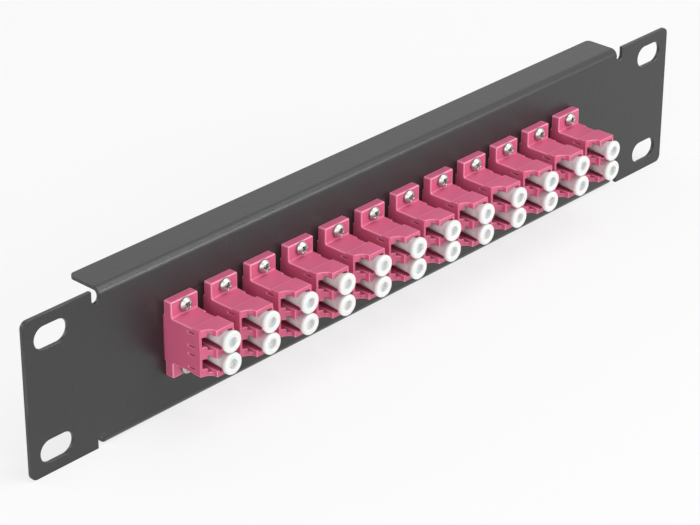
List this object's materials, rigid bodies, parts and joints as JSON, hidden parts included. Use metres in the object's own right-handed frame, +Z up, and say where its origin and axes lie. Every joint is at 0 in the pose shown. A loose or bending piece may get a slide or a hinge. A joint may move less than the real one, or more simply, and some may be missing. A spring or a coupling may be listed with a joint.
{
  "type": "fibre patch panel",
  "caption": "Folded steel rack panel with a row of duplex fibre adapters, each closed by push-in dust caps that pull off forwards.",
  "frame": {"origin": "centre of the four mounting slots, on the rear face of the ears, which seats on the rack rails", "axes": "+X along the panel's length, -Y out of the front face, +Z up"},
  "size_m": [0.254, 0.034, 0.0444],
  "materials": {
    "panel_coat": "fine textured dark grey powder coat",
    "adapter_plastic": "satin moulded heather violet plastic",
    "cap_plastic": "translucent milky white soft plastic",
    "screw_metal": "bright nickel-plated steel",
    "ceramic": "polished white zirconia ceramic"
  },
  "bodies": {
    "patch_panel": {"panel": "panel_coat", "adapter_front_01": "adapter_plastic", "adapter_front_02": "adapter_plastic", "adapter_front_03": "adapter_plastic", "adapter_front_04": "adapter_plastic", "adapter_front_05": "adapter_plastic", "adapter_front_06": "adapter_plastic", "adapter_front_07": "adapter_plastic", "adapter_front_08": "adapter_plastic", "adapter_front_09": "adapter_plastic", "adapter_front_10": "adapter_plastic", "adapter_front_11": "adapter_plastic", "adapter_front_12": "adapter_plastic", "adapter_rear_01": "adapter_plastic", "adapter_rear_02": "adapter_plastic", "adapter_rear_03": "adapter_plastic", "adapter_rear_04": "adapter_plastic", "adapter_rear_05": "adapter_plastic", "adapter_rear_06": "adapter_plastic", "adapter_rear_07": "adapter_plastic", "adapter_rear_08": "adapter_plastic", "adapter_rear_09": "adapter_plastic", "adapter_rear_10": "adapter_plastic", "adapter_rear_11": "adapter_plastic", "adapter_rear_12": "adapter_plastic", "flange_screws": "screw_metal", "flange_nuts": "screw_metal", "alignment_sleeves": "ceramic", "rear_dust_caps": "cap_plastic"},
    "cap_01_upper": {"dust_cap_01_upper": "cap_plastic"},
    "cap_01_lower": {"dust_cap_01_lower": "cap_plastic"},
    "cap_02_upper": {"dust_cap_02_upper": "cap_plastic"},
    "cap_02_lower": {"dust_cap_02_lower": "cap_plastic"},
    "cap_03_upper": {"dust_cap_03_upper": "cap_plastic"},
    "cap_03_lower": {"dust_cap_03_lower": "cap_plastic"},
    "cap_04_upper": {"dust_cap_04_upper": "cap_plastic"},
    "cap_04_lower": {"dust_cap_04_lower": "cap_plastic"},
    "cap_05_upper": {"dust_cap_05_upper": "cap_plastic"},
    "cap_05_lower": {"dust_cap_05_lower": "cap_plastic"},
    "cap_06_upper": {"dust_cap_06_upper": "cap_plastic"},
    "cap_06_lower": {"dust_cap_06_lower": "cap_plastic"},
    "cap_07_upper": {"dust_cap_07_upper": "cap_plastic"},
    "cap_07_lower": {"dust_cap_07_lower": "cap_plastic"},
    "cap_08_upper": {"dust_cap_08_upper": "cap_plastic"},
    "cap_08_lower": {"dust_cap_08_lower": "cap_plastic"},
    "cap_09_upper": {"dust_cap_09_upper": "cap_plastic"},
    "cap_09_lower": {"dust_cap_09_lower": "cap_plastic"},
    "cap_10_upper": {"dust_cap_10_upper": "cap_plastic"},
    "cap_10_lower": {"dust_cap_10_lower": "cap_plastic"},
    "cap_11_upper": {"dust_cap_11_upper": "cap_plastic"},
    "cap_11_lower": {"dust_cap_11_lower": "cap_plastic"},
    "cap_12_upper": {"dust_cap_12_upper": "cap_plastic"},
    "cap_12_lower": {"dust_cap_12_lower": "cap_plastic"}
  },
  "joints": [
    {"name": "pull_cap_01_upper", "type": "slide", "parent": "patch_panel", "child": "cap_01_upper", "axis": [0, -1, 0], "range_m": [0, 0.015]},
    {"name": "pull_cap_01_lower", "type": "slide", "parent": "patch_panel", "child": "cap_01_lower", "axis": [0, -1, 0], "range_m": [0, 0.015]},
    {"name": "pull_cap_02_upper", "type": "slide", "parent": "patch_panel", "child": "cap_02_upper", "axis": [0, -1, 0], "range_m": [0, 0.015]},
    {"name": "pull_cap_02_lower", "type": "slide", "parent": "patch_panel", "child": "cap_02_lower", "axis": [0, -1, 0], "range_m": [0, 0.015]},
    {"name": "pull_cap_03_upper", "type": "slide", "parent": "patch_panel", "child": "cap_03_upper", "axis": [0, -1, 0], "range_m": [0, 0.015]},
    {"name": "pull_cap_03_lower", "type": "slide", "parent": "patch_panel", "child": "cap_03_lower", "axis": [0, -1, 0], "range_m": [0, 0.015]},
    {"name": "pull_cap_04_upper", "type": "slide", "parent": "patch_panel", "child": "cap_04_upper", "axis": [0, -1, 0], "range_m": [0, 0.015]},
    {"name": "pull_cap_04_lower", "type": "slide", "parent": "patch_panel", "child": "cap_04_lower", "axis": [0, -1, 0], "range_m": [0, 0.015]},
    {"name": "pull_cap_05_upper", "type": "slide", "parent": "patch_panel", "child": "cap_05_upper", "axis": [0, -1, 0], "range_m": [0, 0.015]},
    {"name": "pull_cap_05_lower", "type": "slide", "parent": "patch_panel", "child": "cap_05_lower", "axis": [0, -1, 0], "range_m": [0, 0.015]},
    {"name": "pull_cap_06_upper", "type": "slide", "parent": "patch_panel", "child": "cap_06_upper", "axis": [0, -1, 0], "range_m": [0, 0.015]},
    {"name": "pull_cap_06_lower", "type": "slide", "parent": "patch_panel", "child": "cap_06_lower", "axis": [0, -1, 0], "range_m": [0, 0.015]},
    {"name": "pull_cap_07_upper", "type": "slide", "parent": "patch_panel", "child": "cap_07_upper", "axis": [0, -1, 0], "range_m": [0, 0.015]},
    {"name": "pull_cap_07_lower", "type": "slide", "parent": "patch_panel", "child": "cap_07_lower", "axis": [0, -1, 0], "range_m": [0, 0.015]},
    {"name": "pull_cap_08_upper", "type": "slide", "parent": "patch_panel", "child": "cap_08_upper", "axis": [0, -1, 0], "range_m": [0, 0.015]},
    {"name": "pull_cap_08_lower", "type": "slide", "parent": "patch_panel", "child": "cap_08_lower", "axis": [0, -1, 0], "range_m": [0, 0.015]},
    {"name": "pull_cap_09_upper", "type": "slide", "parent": "patch_panel", "child": "cap_09_upper", "axis": [0, -1, 0], "range_m": [0, 0.015]},
    {"name": "pull_cap_09_lower", "type": "slide", "parent": "patch_panel", "child": "cap_09_lower", "axis": [0, -1, 0], "range_m": [0, 0.015]},
    {"name": "pull_cap_10_upper", "type": "slide", "parent": "patch_panel", "child": "cap_10_upper", "axis": [0, -1, 0], "range_m": [0, 0.015]},
    {"name": "pull_cap_10_lower", "type": "slide", "parent": "patch_panel", "child": "cap_10_lower", "axis": [0, -1, 0], "range_m": [0, 0.015]},
    {"name": "pull_cap_11_upper", "type": "slide", "parent": "patch_panel", "child": "cap_11_upper", "axis": [0, -1, 0], "range_m": [0, 0.015]},
    {"name": "pull_cap_11_lower", "type": "slide", "parent": "patch_panel", "child": "cap_11_lower", "axis": [0, -1, 0], "range_m": [0, 0.015]},
    {"name": "pull_cap_12_upper", "type": "slide", "parent": "patch_panel", "child": "cap_12_upper", "axis": [0, -1, 0], "range_m": [0, 0.015]},
    {"name": "pull_cap_12_lower", "type": "slide", "parent": "patch_panel", "child": "cap_12_lower", "axis": [0, -1, 0], "range_m": [0, 0.015]}
  ]
}
